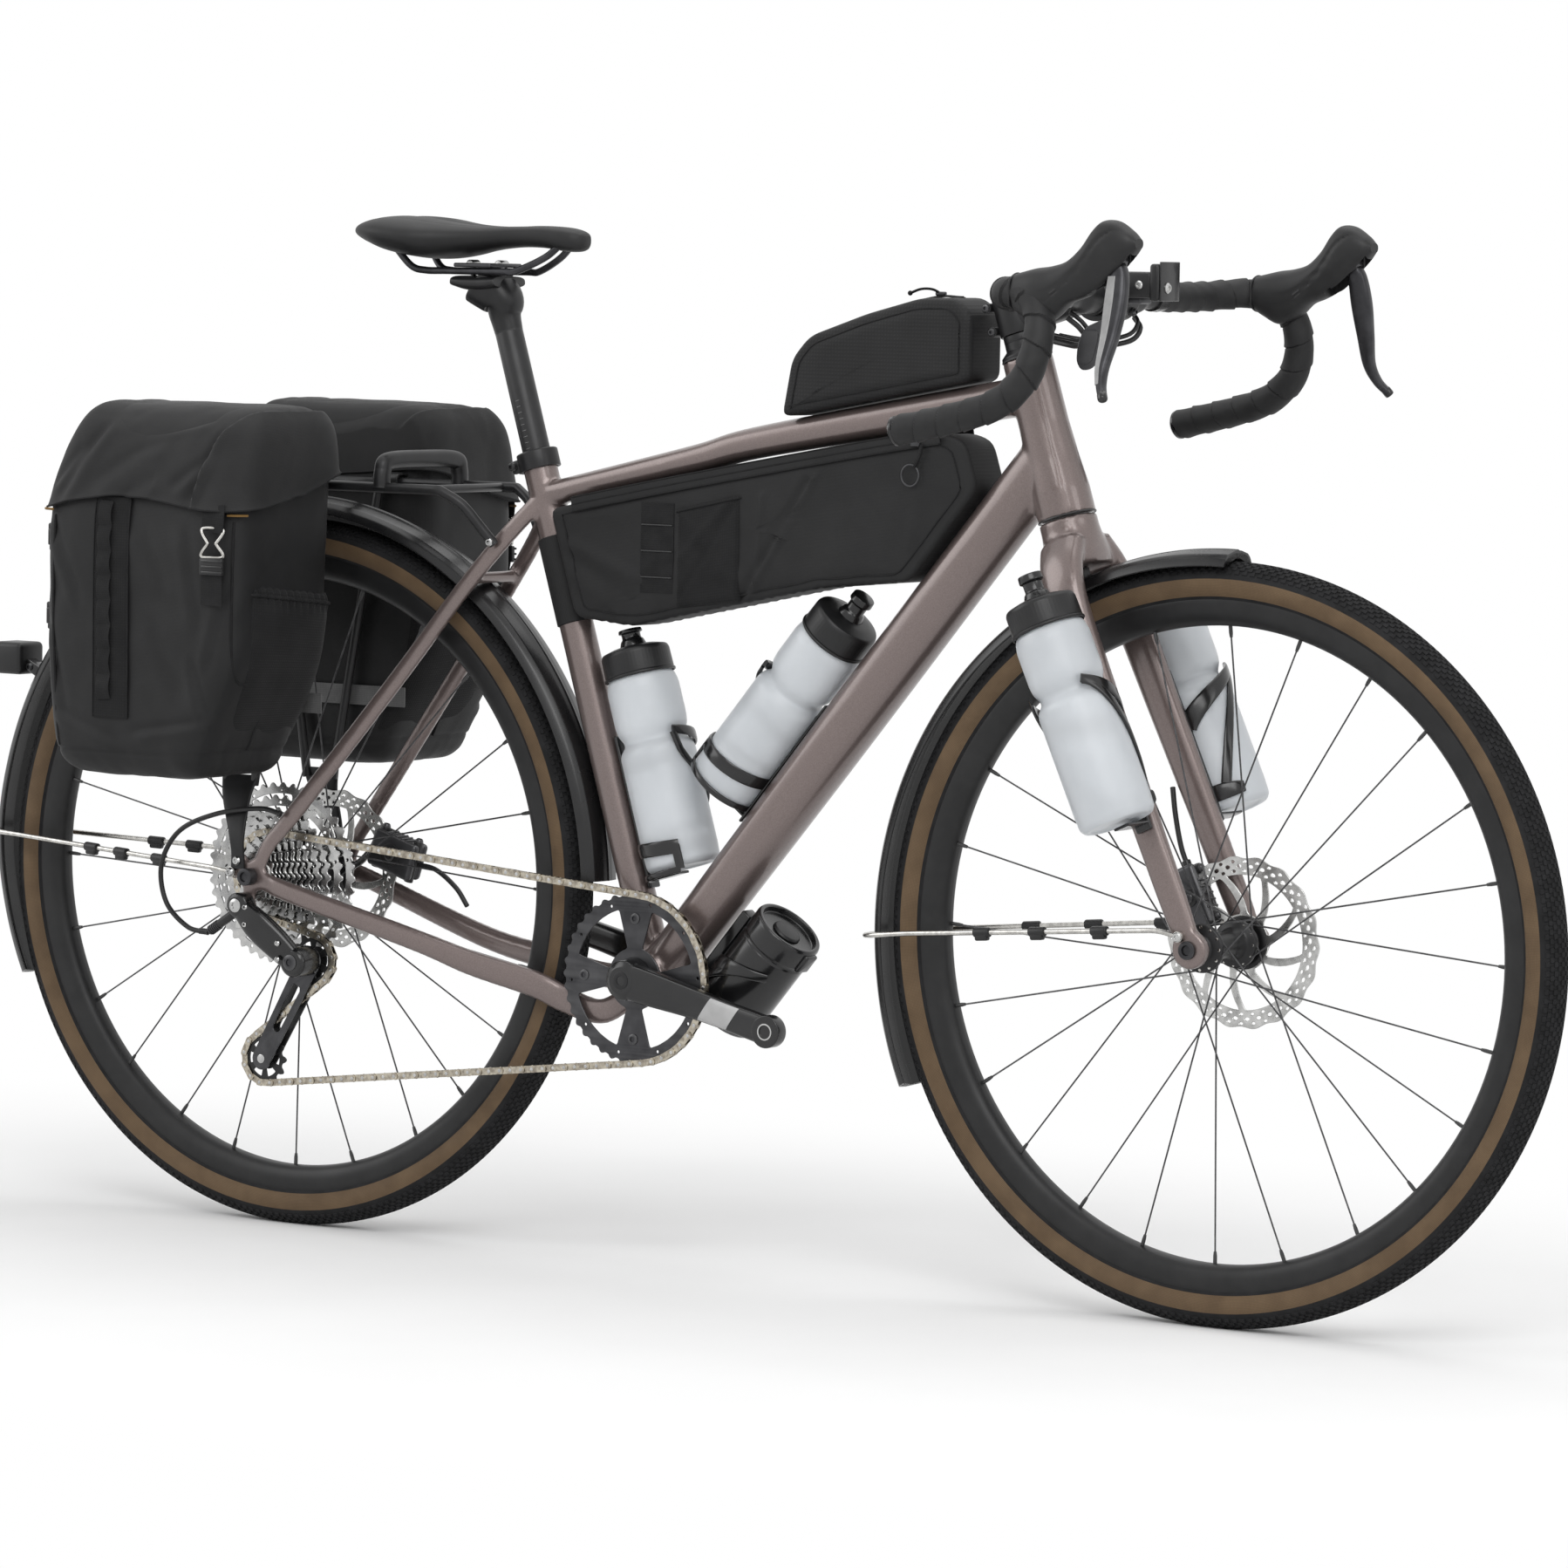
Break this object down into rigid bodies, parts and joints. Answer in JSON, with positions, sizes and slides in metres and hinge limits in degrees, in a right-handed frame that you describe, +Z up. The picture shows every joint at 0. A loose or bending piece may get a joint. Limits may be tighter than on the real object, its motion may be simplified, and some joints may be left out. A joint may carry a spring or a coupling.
{
  "type": "gravel bicycle",
  "caption": "Drop-bar gravel bicycle with disc brakes, full fenders, rear rack with panniers, frame bags and bottles in cages; wheels, cranks, steering, levers and seatpost move.",
  "frame": {"origin": "on the ground under the middle of the bounding box, midway between the two wheels", "axes": "+X forward along the bike, +Y to the rider's left, +Z up; the drive side is -Y"},
  "size_m": [1.788, 0.5294, 1.009],
  "materials": {
    "frame_paint": "satin metallic paint, warm grey-brown",
    "black_metal": "black anodised, satin",
    "bright_metal": "bright brushed metal",
    "steel_wire": "polished stainless wire",
    "rotor_steel": "ground steel, fine circular lines",
    "chain_steel": "oiled, slightly golden steel",
    "lever_metal": "dark grey anodised, satin",
    "rim_black": "black, satin",
    "hub_black": "black, satin",
    "black_plastic": "moulded, matte",
    "frosted_plastic": "frosted translucent squeeze plastic",
    "bag_fabric": "coated woven fabric, matte",
    "saddle_cover": "smooth synthetic cover, matte",
    "bar_tape": "wrapped cushioned tape, matte",
    "hood_rubber": "smooth soft rubber",
    "cable_housing": "smooth black housing",
    "tyre_rubber": "black tread, tan sidewall band"
  },
  "bodies": {
    "frame": {"main_frame": "frame_paint", "seat_clamp": "black_metal", "bottom_bracket": "black_metal", "rear_thru_axle": "bright_metal", "rear_brake_caliper": "black_metal", "rear_fender": "black_plastic", "rear_fender_stay": "steel_wire", "rear_reflector": "black_plastic", "rear_rack": "black_metal", "pannier_right": "bag_fabric", "pannier_left": "bag_fabric", "frame_bag": "bag_fabric", "top_tube_bag": "bag_fabric", "seat_tube_cage": "black_plastic", "down_tube_cage": "black_plastic", "keg_cage": "black_plastic", "seat_tube_bottle": "frosted_plastic", "down_tube_bottle": "frosted_plastic", "shift_housing": "cable_housing", "derailleur_body": "black_metal", "chain": "chain_steel"},
    "keg": {"storage_keg": "black_plastic"},
    "seat_post": {"seatpost": "black_metal", "saddle": "saddle_cover"},
    "steering": {"fork": "frame_paint", "headset_spacers": "black_metal", "stem": "black_metal", "handlebar": "black_metal", "bar_tape_right": "bar_tape", "bar_tape_left": "bar_tape", "hood_right": "hood_rubber", "hood_left": "hood_rubber", "light_mount": "black_plastic", "handlebar_hoses": "cable_housing", "front_brake_caliper": "black_metal", "front_thru_axle": "bright_metal", "front_fender": "black_plastic", "front_fender_stay": "steel_wire", "fork_cage_right": "black_plastic", "fork_cage_left": "black_plastic"},
    "bottle_right": {"fork_bottle_right": "frosted_plastic"},
    "bottle_left": {"fork_bottle_left": "frosted_plastic"},
    "lever_right": {"brake_lever_right": "lever_metal"},
    "lever_left": {"brake_lever_left": "lever_metal"},
    "shift_paddle": {"shift_paddle_right": "lever_metal"},
    "front_wheel": {"front_tyre": "tyre_rubber", "front_rim": "rim_black", "front_hub": "hub_black", "front_rotor": "rotor_steel"},
    "rear_wheel": {"rear_tyre": "tyre_rubber", "rear_rim": "rim_black", "rear_hub": "hub_black", "rear_rotor": "rotor_steel"},
    "cogs": {"cassette": "bright_metal"},
    "crankset": {"crank_right": "black_metal", "crank_left": "black_metal", "chainring": "black_metal"},
    "cage": {"derailleur_cage": "black_metal"},
    "guide_pulley": {"upper_pulley": "black_plastic"},
    "tension_pulley": {"lower_pulley": "black_plastic"}
  },
  "joints": [
    {"name": "steering_turn", "type": "hinge", "parent": "frame", "child": "steering", "pos_m": [0.3681, 0, 0.7353], "axis": [-0.3057, 0, 0.9521], "range_deg": [-55, 55]},
    {"name": "front_wheel_spin", "type": "hinge", "parent": "steering", "child": "front_wheel", "pos_m": [0.5426, 0, 0.351], "axis": [0, 1, 0], "continuous": true},
    {"name": "rear_wheel_spin", "type": "hinge", "parent": "frame", "child": "rear_wheel", "pos_m": [-0.51362, 0, 0.351], "axis": [0, 1, 0], "continuous": true},
    {"name": "crank_spin", "type": "hinge", "parent": "frame", "child": "crankset", "pos_m": [-0.0755, 0, 0.279], "axis": [0, 1, 0], "continuous": true},
    {"name": "cassette_spin", "type": "hinge", "parent": "frame", "child": "cogs", "pos_m": [-0.51362, 0, 0.351], "axis": [0, 1, 0], "continuous": true},
    {"name": "derailleur_cage_swing", "type": "hinge", "parent": "frame", "child": "cage", "pos_m": [-0.45962, 0, 0.27], "axis": [0, 1, 0], "range_deg": [-60, 20], "stiffness_Nm_per_rad": 0.6, "deforming": ["chain"]},
    {"name": "lower_pulley_spin", "type": "hinge", "parent": "cage", "child": "tension_pulley", "pos_m": [-0.51762, 0, 0.168], "axis": [0, 1, 0], "continuous": true},
    {"name": "upper_pulley_spin", "type": "hinge", "parent": "cage", "child": "guide_pulley", "pos_m": [-0.45962, 0, 0.27], "axis": [0, 1, 0], "continuous": true},
    {"name": "seatpost_slide", "type": "slide", "parent": "frame", "child": "seat_post", "axis": [-0.2924, 0, 0.9563], "range_m": [-0.09, 0.09]},
    {"name": "keg_slide", "type": "slide", "parent": "frame", "child": "keg", "axis": [0.6384, 0, 0.7697], "range_m": [0, 0.06]},
    {"name": "fork_bottle_right_slide", "type": "slide", "parent": "steering", "child": "bottle_right", "axis": [-0.4151, 0, 0.9098], "range_m": [0, 0.1]},
    {"name": "fork_bottle_left_slide", "type": "slide", "parent": "steering", "child": "bottle_left", "axis": [-0.4151, 0, 0.9098], "range_m": [0, 0.1]},
    {"name": "brake_lever_right_pull", "type": "hinge", "parent": "steering", "child": "lever_right", "pos_m": [0.5425, -0.214, 0.974], "axis": [0, 1, 0], "range_deg": [0, 16], "stiffness_Nm_per_rad": 1.2, "springref_deg": -8.59},
    {"name": "brake_lever_left_pull", "type": "hinge", "parent": "steering", "child": "lever_left", "pos_m": [0.5425, 0.214, 0.974], "axis": [0, 1, 0], "range_deg": [0, 16], "stiffness_Nm_per_rad": 1.2, "springref_deg": -8.59},
    {"name": "shift_paddle_swing", "type": "hinge", "parent": "lever_right", "child": "shift_paddle", "pos_m": [0.5445, -0.209, 0.9235], "axis": [0, 0, -1], "range_deg": [0, 20], "stiffness_Nm_per_rad": 0.2, "springref_deg": -8.59}
  ],
  "couplings": [
    {"joint": "cassette_spin", "follows": "crank_spin", "ratio": 1.9048},
    {"joint": "lower_pulley_spin", "follows": "crank_spin", "ratio": 3.3333},
    {"joint": "upper_pulley_spin", "follows": "crank_spin", "ratio": -3.3333}
  ]
}
